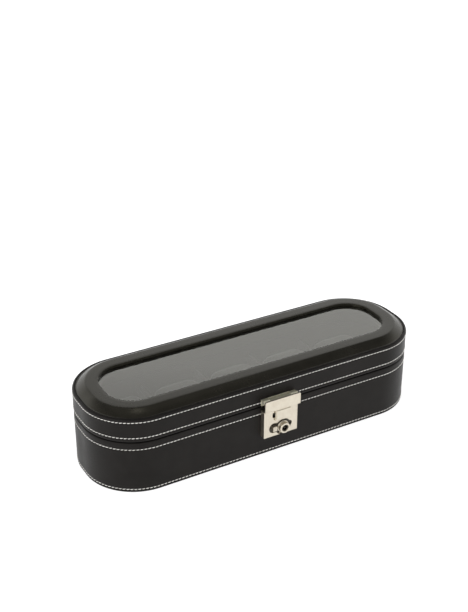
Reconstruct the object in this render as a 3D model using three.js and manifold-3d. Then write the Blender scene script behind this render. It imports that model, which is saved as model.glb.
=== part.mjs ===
// A leather-covered watch case for five watches, with half-round ends, a glazed hinged lid and a hasp lock.
// Millimetres. X runs along the case, Y towards its back, Z up. The origin is the middle of its underside.
import * as THREE from 'three';
import { mergeVertices } from 'three/addons/utils/BufferGeometryUtils.js';
import Module from 'manifold-3d';

const wasm = await Module();
wasm.setup();

// Driving dimensions of the case
const caseLength = 340;
const caseWidth = 112;
const cornerRadius = 50;
const halfWidth = caseWidth / 2;
const curveSteps = 6;
const skin = 1.2;
const baseWall = 6;
const lidWall = 6.8;
const liningThickness = 1;
const soleThickness = 0.8;
const boardThickness = 4;
const floorLining = 0.8;
const baseTop = 51.8;
const lidBottom = 52.9;
const lidShelf = 74.4;
const rimTop = 75.9;
const frameTop = 81;
const glassThickness = 3.5;
const opening = { frame: 23.4, rebate: 20.3, glass: 20.6, retainer: 24.8 };

// Compartments
const watchCount = 5;
const pitch = 60;
const dividerThickness = 4;
const dividerTop = 42;
const cushion = { width: 50, length: 78, height: 40, round: 17, edge: 6, gap: 0.4 };

// Rear hinges
const hinge = {
  x: 80, width: 40, leaf: 0.5, leafDepth: 6.5, knuckleRadius: 2, bore: 0.97, pin: 0.9,
  middle: 14, clearance: 0.3, screwSpread: 26,
};
const hingeY = halfWidth + hinge.knuckleRadius + hinge.clearance;
const hingeZ = (baseTop + lidBottom) / 2;

// Lock on the front wall: depths are measured outwards from the wall
const lock = { left: -17.6, right: 18.3, bottom: 21, top: 49, plate: 0.8, face: 6.3, wall: 1 };
const barrel = { x: 3, z: 28.5, radius: 5.1, bore: 3.2, front: 10, back: 3.2 };
const thumb = { x: -6.8, z: 29.6, width: 4.2, height: 4.8, front: 8.6 };
const sliderGap = { barrelSide: 7.5, thumbSide: 5, turn: 1.9 };
const hook = { x: 0.4, thickness: 1.5, bottom: 41.4, top: 45.6, depth: 1.7 };
const hasp = { left: -17.6, right: 20, bottom: 49.5, face: 8.3, back: 6.5, pinZ: 58.9, pinOut: 4.2, roll: 2.1 };
const tongue = { left: -6.6, right: 12, bottom: 38 };
const boss = { left: -5.7, right: 9.4, bottom: 39.4, top: 49, height: 0.7 };

const colours = {
  leather: { color: 0x2a2725, roughness: 0.5, metalness: 0 },
  lacquer: { color: 0x1f1d1b, roughness: 0.35, metalness: 0 },
  board: { color: 0x9c7b55, roughness: 0.8, metalness: 0 },
  lining: { color: 0x24211f, roughness: 0.95, metalness: 0 },
  cushionCloth: { color: 0x34302d, roughness: 0.95, metalness: 0 },
  glass: { color: 0xb9bdb8, roughness: 0.05, metalness: 0 },
  nickel: { color: 0xd8cfc0, roughness: 0.25, metalness: 1 },
  steel: { color: 0xa7a49d, roughness: 0.4, metalness: 1 },
};

// ---- helpers ----

function toSolid(geometry) {
  const bare = geometry.clone();
  bare.deleteAttribute('normal');
  bare.deleteAttribute('uv');
  const merged = mergeVertices(bare, 1e-4);
  return new wasm.Manifold(new wasm.Mesh({
    numProp: 3,
    vertProperties: Float32Array.from(merged.attributes.position.array),
    triVerts: Uint32Array.from(merged.index.array),
  }));
}

function toGeometry(solid) {
  const mesh = solid.getMesh();
  const geometry = new THREE.BufferGeometry();
  geometry.setAttribute('position', new THREE.BufferAttribute(mesh.vertProperties.slice(), 3));
  geometry.setIndex(new THREE.BufferAttribute(mesh.triVerts.slice(), 1));
  geometry.computeVertexNormals();
  return geometry;
}

function cut(geometry, tools) {
  return toGeometry(tools.reduce((solid, tool) => solid.subtract(toSolid(tool)), toSolid(geometry)));
}

function join(geometries) {
  return toGeometry(geometries.map(toSolid).reduce((solid, other) => solid.add(other)));
}

function block(low, high) {
  const size = high.map((value, axis) => value - low[axis]);
  const middle = high.map((value, axis) => (value + low[axis]) / 2);
  return new THREE.BoxGeometry(...size).translate(...middle);
}

// A cylinder along an axis, centred on middle
function rod(axis, middle, radius, length, sides = 12) {
  const geometry = new THREE.CylinderGeometry(radius, radius, length, sides);
  if (axis === 'x') geometry.rotateZ(Math.PI / 2);
  if (axis === 'z') geometry.rotateX(Math.PI / 2);
  return geometry.translate(...middle);
}

// The case's outline, moved inwards: straight sides with round corners
function outline(inset) {
  const x = caseLength / 2 - inset;
  const y = halfWidth - inset;
  const r = Math.max(cornerRadius - inset, 1);
  const shape = new THREE.Shape();
  shape.moveTo(-x + r, -y);
  shape.lineTo(x - r, -y);
  shape.absarc(x - r, -y + r, r, -Math.PI / 2, 0);
  shape.lineTo(x, y - r);
  shape.absarc(x - r, y - r, r, 0, Math.PI / 2);
  shape.lineTo(-x + r, y);
  shape.absarc(-x + r, y - r, r, Math.PI / 2, Math.PI);
  shape.lineTo(-x, -y + r);
  shape.absarc(-x + r, -y + r, r, Math.PI, Math.PI * 1.5);
  return shape;
}

function slab(inset, low, high) {
  const options = { depth: high - low, bevelEnabled: false, curveSegments: curveSteps };
  return new THREE.ExtrudeGeometry(outline(inset), options).translate(0, 0, low);
}

function ring(outer, inner, low, high) {
  const shape = outline(outer);
  shape.holes.push(outline(inner));
  const options = { depth: high - low, bevelEnabled: false, curveSegments: curveSteps };
  return new THREE.ExtrudeGeometry(shape, options).translate(0, 0, low);
}

const watchBox = new THREE.Group();

function addPiece(name, geometry, finish, place = [0, 0, 0]) {
  const mesh = new THREE.Mesh(geometry, new THREE.MeshStandardMaterial(colours[finish]));
  mesh.name = name;
  mesh.position.set(...place);
  watchBox.add(mesh);
}

// ---- fasteners, which the pieces around them are drilled for ----

// A countersunk wood screw that points down, with its head's top at z = 0
function screwGeometry(headRadius = 2, headDepth = 0.5, shankRadius = 1.1, length = 9) {
  const profile = [[0, -length], [shankRadius * 0.5, -length], [shankRadius, -length + 1.5],
    [shankRadius, -headDepth], [headRadius, -headDepth], [headRadius, 0], [0, 0]];
  const points = profile.map(([r, z]) => new THREE.Vector2(r, z));
  return new THREE.LatheGeometry(points, 8).rotateX(Math.PI / 2);
}

const screws = [];
for (const [side, sign] of [['left', -1], ['right', 1]]) {
  for (const [end, step] of [['outer', 1], ['inner', -1]]) {
    const x = sign * (hinge.x + step * hinge.screwSpread / 2);
    const y = halfWidth - skin - baseWall / 2;
    screws.push({ name: `hinge_${side}_base_screw_${end}`, up: false, x, y, z: baseTop + hinge.leaf });
    screws.push({ name: `hinge_${side}_lid_screw_${end}`, up: true, x, y, z: lidBottom - hinge.leaf });
  }
}

function placedScrew({ up, x, y, z }) {
  const geometry = screwGeometry();
  if (up) geometry.rotateX(Math.PI);
  return geometry.translate(x, y, z);
}

// A domed tack through a metal plate into the front wall
function tackGeometry(x, z) {
  const head = lock.plate;
  const profile = [[0, 0], [0.9, 0], [0.9, 4.2], [1.6, 4.2], [1.6, 4.2 + head], [0, 4.2 + head]];
  const points = profile.map(([r, along]) => new THREE.Vector2(r, along));
  const depth = halfWidth - 4.2;
  return new THREE.LatheGeometry(points, 8).rotateX(Math.PI).translate(x, -depth, z);
}

const caseTacks = [[-13, 25], [14.5, 25], [-13, 45.4], [14.5, 45.4]];
const haspTacks = [[-14, 55.4], [14.8, 55.4]];

// ---- base ----

function addBase() {
  const drilled = screws.filter((screw) => !screw.up).map(placedScrew);
  const tacks = caseTacks.map(([x, z]) => tackGeometry(x, z));
  const inside = skin + baseWall;
  addPiece('sole_sheet', slab(1, 0, soleThickness), 'lining');
  addPiece('base_wall', cut(ring(skin, inside, soleThickness, baseTop), [...drilled, ...tacks]), 'board');
  addPiece('base_leather', cut(ring(0, skin, soleThickness, baseTop), tacks), 'leather');
  const boardTop = soleThickness + boardThickness;
  addPiece('bottom_board', slab(inside, soleThickness, boardTop), 'board');
  const floor = boardTop + floorLining;
  addPiece('floor_lining', slab(inside, boardTop, floor), 'lining');
  addPiece('base_lining', ring(inside, inside + liningThickness, floor, baseTop), 'lining');
  addDividers(floor);
  addCushions(floor);
}

function addDividers(floor) {
  const reach = halfWidth - skin - baseWall - liningThickness - 0.3;
  for (let n = 1; n < watchCount; n += 1) {
    const x = (n - watchCount / 2) * pitch;
    const half = dividerThickness / 2;
    const plate = block([x - half, -reach, floor], [x + half, reach, dividerTop]);
    addPiece(`divider_${n}`, plate, 'lining');
  }
}

// A plain pillow: a rounded section across the case, with rounded sides
function cushionGeometry() {
  const { width, length, height, round, edge } = cushion;
  const y = length / 2 - edge;
  const z = height / 2 - edge;
  const r = round - edge;
  const shape = new THREE.Shape();
  shape.moveTo(-y + r, -z);
  shape.lineTo(y - r, -z);
  shape.absarc(y - r, -z + r, r, -Math.PI / 2, 0);
  shape.lineTo(y, z - r);
  shape.absarc(y - r, z - r, r, 0, Math.PI / 2);
  shape.lineTo(-y + r, z);
  shape.absarc(-y + r, z - r, r, Math.PI / 2, Math.PI);
  shape.lineTo(-y, -z + r);
  shape.absarc(-y + r, -z + r, r, Math.PI, Math.PI * 1.5);
  const options = {
    depth: width - 2 * edge, bevelThickness: edge, bevelSize: edge, bevelSegments: 2, curveSegments: 3,
  };
  const geometry = new THREE.ExtrudeGeometry(shape, options);
  geometry.translate(0, 0, edge - width / 2);
  return geometry.rotateX(Math.PI / 2).rotateZ(Math.PI / 2);
}

function addCushions(floor) {
  for (let n = 1; n <= watchCount; n += 1) {
    const x = (n - (watchCount + 1) / 2) * pitch;
    const z = floor + cushion.gap + cushion.height / 2;
    addPiece(`cushion_${n}`, cushionGeometry(), 'cushionCloth', [x, 0, z]);
  }
}

// ---- lid ----

function addLid() {
  const inside = skin + lidWall;
  const drilled = screws.filter((screw) => screw.up).map(placedScrew);
  const tacks = haspTacks.map(([x, z]) => tackGeometry(x, z));
  const innerTop = lidShelf - 3;
  addPiece('lid_wall', cut(ring(skin, inside, lidBottom, lidShelf), [...drilled, ...tacks]), 'board');
  addPiece('lid_leather', cut(ring(0, skin, lidBottom, rimTop), tacks), 'leather');
  addPiece('lid_lining', ring(inside, inside + liningThickness, lidBottom + 0.5, innerTop), 'lining');
  addPiece('glass_retainer', ring(inside, opening.retainer, innerTop, lidShelf), 'lining');
  addPiece('top_frame', topFrameGeometry(), 'lacquer');
  addPiece('glass_pane', slab(opening.glass, lidShelf, lidShelf + glassThickness), 'glass');
}

// A moulding with a flat top and a straight outer slope, rebated underneath for the glass
function topFrameGeometry() {
  const flatInset = 11.7;
  const slope = { out: 9, down: 5 };
  const below = 4;
  const options = {
    depth: below, bevelThickness: slope.down, bevelSize: slope.out, bevelSegments: 1,
    curveSegments: curveSteps,
  };
  const moulding = new THREE.ExtrudeGeometry(outline(flatInset), options);
  moulding.translate(0, 0, frameTop - slope.down - below);
  const underside = block([-200, -100, 0], [200, 100, lidShelf]);
  const window = slab(opening.frame, 0, 100);
  const rebate = slab(opening.rebate, 0, lidShelf + glassThickness);
  return cut(moulding, [underside, window, rebate]);
}

// ---- rear hinges ----

function knuckle(from, to) {
  return rod('x', [(from + to) / 2, hingeY, hingeZ], hinge.knuckleRadius, to - from);
}

function leafGeometry(x, up) {
  const half = hinge.width / 2;
  const middle = hinge.middle / 2;
  const back = halfWidth - 0.1;
  const front = back - hinge.leafDepth;
  const low = up ? lidBottom - hinge.leaf : baseTop;
  const plate = block([x - half, front, low], [x + half, back, low + hinge.leaf]);
  const bore = rod('x', [x, hingeY, hingeZ], hinge.bore, hinge.width + 2);
  const spans = up
    ? [[-middle + hinge.clearance, middle - hinge.clearance]]
    : [[-half, -middle], [middle, half]];
  const pieces = [plate];
  for (const [from, to] of spans) {
    const reach = hingeY - 1.4;
    pieces.push(block([x + from, back - 1, low], [x + to, reach, low + hinge.leaf]));
    pieces.push(knuckle(x + from, x + to));
  }
  const holes = screws.filter((screw) => screw.up === up && Math.abs(screw.x - x) < half);
  return cut(join(pieces), [bore, ...holes.map(placedScrew)]);
}

function addHinges() {
  for (const [side, sign] of [['left', -1], ['right', 1]]) {
    const x = sign * hinge.x;
    addPiece(`hinge_${side}_base_leaf`, leafGeometry(x, false), 'nickel');
    addPiece(`hinge_${side}_lid_leaf`, leafGeometry(x, true), 'nickel');
    const pin = rod('x', [x, hingeY, hingeZ], hinge.pin, hinge.width + 0.6);
    addPiece(`hinge_${side}_pin`, pin, 'steel');
  }
  for (const screw of screws) {
    addPiece(screw.name, placedScrew(screw), 'steel');
  }
}

// ---- lock case on the base ----

const wallY = -halfWidth;
const faceY = wallY - lock.face;

// A pear-shaped window: a circle round the barrel and a smaller one for the thumb tab
function sliderWindow() {
  const shape = new THREE.Shape();
  shape.absarc(barrel.x, barrel.z, sliderGap.barrelSide, -sliderGap.turn, sliderGap.turn);
  shape.absarc(thumb.x - 0.1, thumb.z, sliderGap.thumbSide, sliderGap.turn + 0.1, 2 * Math.PI - sliderGap.turn);
  shape.closePath();
  const options = { depth: 3, bevelEnabled: false, curveSegments: 8 };
  return new THREE.ExtrudeGeometry(shape, options).rotateX(Math.PI / 2).translate(0, faceY + 2, 0);
}

function addLockCase() {
  const { left, right, bottom, top, plate, wall } = lock;
  const tacks = caseTacks.map(([x, z]) => tackGeometry(x, z));
  const back = block([left + wall, wallY - plate, bottom + wall], [right - wall, wallY, top - wall]);
  addPiece('lock_back_plate', cut(back, tacks), 'steel');
  const shell = block([left, faceY, bottom], [right, wallY, top]);
  const hollow = block([left + wall, faceY + wall, bottom + wall], [right - wall, wallY + 1, top - wall]);
  const hookWindow = block([-8.3, faceY - 1, 41], [8, faceY + wall + 0.5, 46]);
  const hookWay = block([hook.x - 1, faceY - 1, 41], [hook.x + hook.thickness + 1, wallY - 1.2, top + 1]);
  addPiece('lock_case', cut(shell, [hollow, hookWindow, hookWay, sliderWindow()]), 'nickel');
}

// The slider carries the thumb tab and the key barrel, and its finger holds the hasp's hook
function addLatch() {
  const backY = wallY - barrel.back;
  const plateFront = faceY + lock.wall + 0.3;
  const plate = block([-13.9, plateFront, 23.2], [14, backY, 36.4]);
  const finger = block([-6, backY - 1.2, 36], [-3.4, backY, 44.2]);
  const tip = block([-6, backY - 1.2, 43], [hook.x - 0.3, backY, 44.2]);
  const tube = rod('y', [barrel.x, (wallY - barrel.front + backY) / 2, barrel.z], barrel.radius,
    barrel.front - barrel.back, 24);
  const tab = thumbGeometry(plateFront);
  const seat = rod('y', [barrel.x, wallY, barrel.z], barrel.bore, 40, 24);
  const lug = block([-9.4, backY - 1.6, 36], [-8.6, backY, 39.9]);
  addPiece('latch_slider', cut(join([plate, finger, tip, lug, tube, tab]), [seat]), 'nickel');
  addPiece('latch_spring', springGeometry(-16.3, -9.7, backY - 1, 38.6), 'steel');
  addPiece('key_plug', keyPlugGeometry(), 'nickel');
}

// A thumb tab with a rounded front
function thumbGeometry(plateFront) {
  const round = 0.6;
  const w = thumb.width / 2 - round;
  const h = thumb.height / 2 - round;
  const shape = new THREE.Shape([[-w, -h], [w, -h], [w, h], [-w, h]].map(([x, z]) => new THREE.Vector2(x, z)));
  const depth = plateFront - (wallY - thumb.front) - round;
  const options = { depth, bevelThickness: round, bevelSize: round, bevelSegments: 2 };
  const tab = new THREE.ExtrudeGeometry(shape, options).rotateX(Math.PI / 2);
  return tab.translate(thumb.x, plateFront + 0.2, thumb.z);
}

// A plug for a tubular key: a ring-shaped keyway round a centre post, and a cam at its back
function keyPlugGeometry() {
  const front = barrel.front - 0.8;
  const back = 1.4;
  const outer = barrel.bore - 0.05;
  const keywayFloor = front - 4;
  const profile = [[0, back], [outer, back], [outer, front], [2.4, front], [2.4, keywayFloor],
    [1.1, keywayFloor], [1.1, front - 0.4], [0, front - 0.4]];
  const points = profile.map(([r, along]) => new THREE.Vector2(r, along));
  const body = new THREE.LatheGeometry(points, 24).rotateX(Math.PI);
  body.translate(barrel.x, wallY, barrel.z);
  const notch = block([barrel.x - 0.5, wallY - front - 1, barrel.z + 2],
    [barrel.x + 0.5, wallY - keywayFloor, barrel.z + 2.85]);
  const cam = block([barrel.x - 1.2, wallY - 2.8, barrel.z], [barrel.x + 1.2, wallY - 1.5, barrel.z + 5.6]);
  return join([cut(body, [notch]), cam]);
}

function springGeometry(from, to, y, z) {
  const turns = 5;
  const steps = turns * 10;
  const points = [];
  for (let n = 0; n <= steps; n += 1) {
    const angle = (n / steps) * turns * 2 * Math.PI;
    const x = from + 0.3 + (to - from - 0.6) * (n / steps);
    points.push(new THREE.Vector3(x, y + 0.8 * Math.cos(angle), z + 0.8 * Math.sin(angle)));
  }
  const wire = new THREE.Shape();
  wire.absarc(0, 0, 0.18, 0, 2 * Math.PI);
  const path = new THREE.CatmullRomCurve3(points);
  return new THREE.ExtrudeGeometry(wire, { steps, curveSegments: 3, bevelEnabled: false, extrudePath: path });
}

// ---- hasp on the lid ----

const pinY = wallY - hasp.pinOut;
const leftKnuckle = [hasp.left, -10.6];
const rightKnuckle = [11, 18.4];

function addHaspBracket() {
  const low = 53.6;
  const high = 60.4;
  const left = leftKnuckle[0];
  const right = rightKnuckle[1];
  const pieces = [block([left, wallY - lock.plate, low], [right, wallY, high])];
  for (const [from, to] of [leftKnuckle, rightKnuckle]) {
    pieces.push(block([from, pinY, hasp.pinZ + 0.6], [to, wallY - 0.2, high]));
    pieces.push(rod('x', [(from + to) / 2, pinY, hasp.pinZ], hasp.roll, to - from, 20));
  }
  const bore = rod('x', [0, pinY, hasp.pinZ], 0.97, 60);
  const tacks = haspTacks.map(([x, z]) => tackGeometry(x, z));
  addPiece('hasp_bracket', cut(join(pieces), [bore, ...tacks]), 'nickel');
  addPiece('hasp_pin', rod('x', [0.4, pinY, hasp.pinZ], 0.9, rightKnuckle[1] - left + 0.6), 'steel');
}

function addHasp() {
  const front = wallY - hasp.face;
  const back = wallY - hasp.back;
  const top = hasp.pinZ + hasp.roll;
  const gap = 0.4;
  const from = leftKnuckle[1] + gap;
  const to = rightKnuckle[0] - gap;
  const pieces = [
    block([hasp.left, front, hasp.bottom], [hasp.right, back, top]),
    block([tongue.left, front, tongue.bottom], [tongue.right, back, hasp.bottom + 1]),
    block([boss.left, front - boss.height, boss.bottom], [boss.right, front + 1, boss.top]),
    rod('x', [(from + to) / 2, pinY, hasp.pinZ], hasp.roll, to - from, 20),
    block([from, front + 0.5, hasp.pinZ], [to, pinY, top - 0.05]),
  ];
  const bore = rod('x', [0, pinY, hasp.pinZ], 0.97, 60);
  addPiece('hasp_plate', cut(join(pieces), [bore]), 'nickel');
  addPiece('strike_hook', strikeHookGeometry(back), 'steel');
}

// A plate that stands out of the tongue's back into the lock case, with an eye for the latch finger
function strikeHookGeometry(back) {
  const inner = wallY - hook.depth;
  const plate = block([hook.x, back, hook.bottom], [hook.x + hook.thickness, inner, hook.top]);
  const fingerY = wallY - barrel.back;
  const eye = block([hook.x - 1, fingerY - 1.6, 42.6], [hook.x + 5, fingerY + 0.4, 44.6]);
  return cut(plate, [eye]);
}

function addTacks() {
  caseTacks.forEach(([x, z], n) => addPiece(`case_tack_${n + 1}`, tackGeometry(x, z), 'steel'));
  haspTacks.forEach(([x, z], n) => addPiece(`hasp_tack_${n + 1}`, tackGeometry(x, z), 'steel'));
}

addBase();
addLid();
addHinges();
addLockCase();
addLatch();
addHaspBracket();
addHasp();
addTacks();

export default watchBox;
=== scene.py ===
import math
import random

import bmesh
import bpy
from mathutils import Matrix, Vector, noise


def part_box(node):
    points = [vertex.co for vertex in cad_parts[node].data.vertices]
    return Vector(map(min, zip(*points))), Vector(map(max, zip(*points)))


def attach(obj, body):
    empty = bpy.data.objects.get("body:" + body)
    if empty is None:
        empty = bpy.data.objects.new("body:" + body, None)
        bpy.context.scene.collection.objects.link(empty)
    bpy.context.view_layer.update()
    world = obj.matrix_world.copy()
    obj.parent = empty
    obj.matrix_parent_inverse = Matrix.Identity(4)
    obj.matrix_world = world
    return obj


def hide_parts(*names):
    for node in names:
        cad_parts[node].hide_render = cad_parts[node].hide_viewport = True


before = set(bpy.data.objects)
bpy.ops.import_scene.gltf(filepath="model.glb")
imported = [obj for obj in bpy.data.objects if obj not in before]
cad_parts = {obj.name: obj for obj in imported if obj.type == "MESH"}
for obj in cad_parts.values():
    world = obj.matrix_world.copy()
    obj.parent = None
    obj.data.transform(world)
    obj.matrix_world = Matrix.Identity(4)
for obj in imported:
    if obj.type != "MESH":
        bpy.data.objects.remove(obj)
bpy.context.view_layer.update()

random.seed(7)
mm = 0.001


# sizes read from the frame

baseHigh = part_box("base_leather")[1]
lidLow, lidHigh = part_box("lid_leather")
frameLow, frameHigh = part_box("top_frame")
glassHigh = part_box("glass_pane")[1]

case = {
    "halfLength": baseHigh.x,
    "halfWidth": baseHigh.y,
    "cornerRadius": 50 * mm,
    "cornerSteps": 22,      # faces round each quarter turn
    "sideStep": 4 * mm,     # spacing of points along the straight sides
}


# camera

camera = {
    "place": (-0.45643, -0.77822, 0.59677),
    "azimuth": -29.635,
    "elevation": 27.571,
    "lens": 65.0,
    "sensor": 36,
    "clip": (0.02, 50),
}


def setCamera():
    a = math.radians(camera["azimuth"])
    e = math.radians(camera["elevation"])
    back = Vector((math.sin(a) * math.cos(e), -math.cos(a) * math.cos(e), math.sin(e)))
    data = bpy.data.cameras.new("camera")
    data.lens = camera["lens"]
    data.sensor_width = camera["sensor"]
    data.clip_start, data.clip_end = camera["clip"]
    obj = bpy.data.objects.new("camera", data)
    obj.location = camera["place"]
    obj.rotation_euler = (-back).to_track_quat("-Z", "Y").to_euler()
    bpy.context.scene.collection.objects.link(obj)
    bpy.context.scene.camera = obj


setCamera()
print("camera set")


# material helpers

def newMaterial(name):
    material = bpy.data.materials.new(name)
    material.use_nodes = True
    nodes = material.node_tree.nodes
    shader = nodes["Principled BSDF"]
    return material, material.node_tree, shader


def addNode(tree, kind, inputs=None, **settings):
    node = tree.nodes.new(kind)
    for key, value in settings.items():
        setattr(node, key, value)
    for key, value in (inputs or {}).items():
        node.inputs[key].default_value = value
    return node


def objectSpace(tree):
    return addNode(tree, "ShaderNodeTexCoord").outputs["Object"]


def noiseTex(tree, vector, scale, detail=3.0, roughness=0.55):
    node = addNode(tree, "ShaderNodeTexNoise", {"Scale": scale, "Detail": detail, "Roughness": roughness})
    tree.links.new(vector, node.inputs["Vector"])
    return node.outputs["Fac"]


def cellTex(tree, vector, scale, feature="DISTANCE_TO_EDGE"):
    node = addNode(tree, "ShaderNodeTexVoronoi", {"Scale": scale}, feature=feature)
    tree.links.new(vector, node.inputs["Vector"])
    return node.outputs["Distance"]


def mapRange(tree, value, low, high, toLow, toHigh):
    node = addNode(tree, "ShaderNodeMapRange", {
        "From Min": low, "From Max": high, "To Min": toLow, "To Max": toHigh})
    tree.links.new(value, node.inputs["Value"])
    return node.outputs["Result"]


def mixColour(tree, factor, first, second):
    node = addNode(tree, "ShaderNodeMix", data_type="RGBA")
    node.inputs[6].default_value = (*first, 1)
    node.inputs[7].default_value = (*second, 1)
    tree.links.new(factor, node.inputs[0])
    return node.outputs[2]


def calc(tree, operation, first, second):
    node = addNode(tree, "ShaderNodeMath", operation=operation)
    for slot, value in zip(node.inputs, (first, second)):
        if isinstance(value, (int, float)):
            slot.default_value = value
        else:
            tree.links.new(value, slot)
    return node.outputs[0]


def addBump(tree, shader, height, distance, strength=1.0, socket="Normal"):
    bump = addNode(tree, "ShaderNodeBump", {"Distance": distance, "Strength": strength})
    tree.links.new(height, bump.inputs["Height"])
    tree.links.new(bump.outputs["Normal"], shader.inputs[socket])


# finishes

caseLeather = {
    "dark": (0.0055, 0.0050, 0.0046), "light": (0.0110, 0.0100, 0.0092),
    "grainSize": 0.9 * mm, "grainDepth": 0.04 * mm, "roughness": (0.34, 0.46), "specular": 0.13,
    "tint": (1.0, 0.95, 0.915),       # colour of its sheen
    "broad": 22, "clouds": 90,        # patches to the metre, large and small
}


def makeCaseLeather(name, look):
    material, tree, shader = newMaterial(name)
    space = objectSpace(tree)
    cells = cellTex(tree, space, 1 / look["grainSize"])
    pores = noiseTex(tree, space, 2.6 / look["grainSize"], 4)
    broad = noiseTex(tree, space, look["broad"], 4, 0.6)
    clouds = noiseTex(tree, space, look["clouds"], 3)
    grain = calc(tree, "ADD", mapRange(tree, cells, 0, 0.35, 0, 1), calc(tree, "MULTIPLY", pores, 0.5))
    tone = calc(tree, "ADD", calc(tree, "MULTIPLY", broad, 0.65), calc(tree, "MULTIPLY", clouds, 0.35))
    colour = mixColour(tree, mapRange(tree, tone, 0.3, 0.7, 0, 1), look["dark"], look["light"])
    tree.links.new(colour, shader.inputs["Base Color"])
    low, high = look["roughness"]
    tree.links.new(mapRange(tree, tone, 0.3, 0.7, low, high), shader.inputs["Roughness"])
    shader.inputs["Specular IOR Level"].default_value = look["specular"]
    shader.inputs["Specular Tint"].default_value = (*look["tint"], 1)
    addBump(tree, shader, grain, look["grainDepth"], 0.8)
    return material


topLeather = dict(caseLeather, dark=(0.0065, 0.0060, 0.0048), light=(0.0105, 0.0097, 0.0078),
                  grainDepth=0.004 * mm, roughness=(0.22, 0.3), specular=0.38, tint=(1.0, 0.945, 0.74))

nickelLook = {
    "plate": (0.665, 0.615, 0.515), "worn": (0.60, 0.545, 0.45), "roughness": (0.3, 0.44),
    "brushed": 0.004 * mm, "stretch": 14,      # depth of the brush lines, and how long they are drawn
    "lines": 420, "clouds": 130,               # marks to the metre
}


def makeNickel(name, look):
    material, tree, shader = newMaterial(name)
    space = objectSpace(tree)
    stretch = addNode(tree, "ShaderNodeMapping")
    stretch.inputs["Scale"].default_value = (1, 1, look["stretch"])
    tree.links.new(space, stretch.inputs["Vector"])
    lines = noiseTex(tree, stretch.outputs["Vector"], look["lines"], 2)
    cloudy = noiseTex(tree, space, look["clouds"], 4, 0.6)
    smears = noiseTex(tree, space, look["lines"], 3)
    wear = calc(tree, "ADD", calc(tree, "MULTIPLY", cloudy, 0.7), calc(tree, "MULTIPLY", smears, 0.3))
    tree.links.new(mixColour(tree, mapRange(tree, wear, 0.35, 0.65, 0, 1), look["plate"], look["worn"]),
                   shader.inputs["Base Color"])
    low, high = look["roughness"]
    tree.links.new(mapRange(tree, wear, 0.3, 0.7, low, high), shader.inputs["Roughness"])
    shader.inputs["Metallic"].default_value = 1
    addBump(tree, shader, lines, look["brushed"], 0.6)
    return material


threadLook = {"light": (0.94, 0.93, 0.89), "dark": (0.74, 0.72, 0.67), "twist": 0.42 * mm}


def makeThread(name, look):
    material, tree, shader = newMaterial(name)
    space = objectSpace(tree)
    fibres = noiseTex(tree, space, 1.6 / look["twist"], 3)
    soil = noiseTex(tree, space, 140, 3)
    colour = mixColour(tree, mapRange(tree, calc(tree, "MULTIPLY", soil, fibres), 0.15, 0.4, 0, 1),
                       look["dark"], look["light"])
    tree.links.new(colour, shader.inputs["Base Color"])
    shader.inputs["Roughness"].default_value = 0.75
    shader.inputs["Sheen Weight"].default_value = 0.3
    addBump(tree, shader, fibres, 0.05 * mm)
    return material


def makeSuede(name, dark, light, nap=0.35 * mm, sheen=0.35):
    material, tree, shader = newMaterial(name)
    space = objectSpace(tree)
    fibres = noiseTex(tree, space, 1 / nap, 3, 0.7)
    brushed = noiseTex(tree, space, 48, 4, 0.6)
    tone = calc(tree, "ADD", calc(tree, "MULTIPLY", fibres, 0.35), calc(tree, "MULTIPLY", brushed, 0.65))
    tree.links.new(mixColour(tree, mapRange(tree, tone, 0.35, 0.65, 0, 1), dark, light),
                   shader.inputs["Base Color"])
    shader.inputs["Roughness"].default_value = 0.95
    shader.inputs["Specular IOR Level"].default_value = 0.15
    shader.inputs["Sheen Weight"].default_value = sheen
    shader.inputs["Sheen Roughness"].default_value = 0.45
    addBump(tree, shader, fibres, 0.12 * mm, 0.7)
    return material


glassLook = {"tint": (0.93, 0.95, 0.93), "ior": 2.0, "roughness": 0.02, "gloss": (1.0, 0.99, 0.93)}


def makeGlass(name, look):
    material, tree, shader = newMaterial(name)
    tree.nodes.remove(shader)
    output = tree.nodes["Material Output"]
    clear = addNode(tree, "ShaderNodeBsdfTransparent", {"Color": (*look["tint"], 1)})
    gloss = addNode(tree, "ShaderNodeBsdfGlossy",
                    {"Color": (*look["gloss"], 1), "Roughness": look["roughness"]})
    fresnel = addNode(tree, "ShaderNodeFresnel", {"IOR": look["ior"]})
    faces = addNode(tree, "ShaderNodeNewGeometry")
    front = calc(tree, "SUBTRACT", 1, faces.outputs["Backfacing"])   # the far side of the pane stays clear
    mix = addNode(tree, "ShaderNodeMixShader")
    tree.links.new(calc(tree, "MULTIPLY", fresnel.outputs[0], front), mix.inputs[0])
    tree.links.new(clear.outputs[0], mix.inputs[1])
    tree.links.new(gloss.outputs[0], mix.inputs[2])
    tree.links.new(mix.outputs[0], output.inputs["Surface"])
    return material


boardLook = {"dark": (0.20, 0.12, 0.055), "light": (0.38, 0.25, 0.13), "chips": 700}   # chips to the metre


def makeBoard(name, look):
    material, tree, shader = newMaterial(name)
    space = objectSpace(tree)
    chips = noiseTex(tree, space, look["chips"], 5, 0.7)
    tree.links.new(mixColour(tree, chips, look["dark"], look["light"]), shader.inputs["Base Color"])
    shader.inputs["Roughness"].default_value = 0.85
    addBump(tree, shader, chips, 0.08 * mm)
    return material


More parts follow.
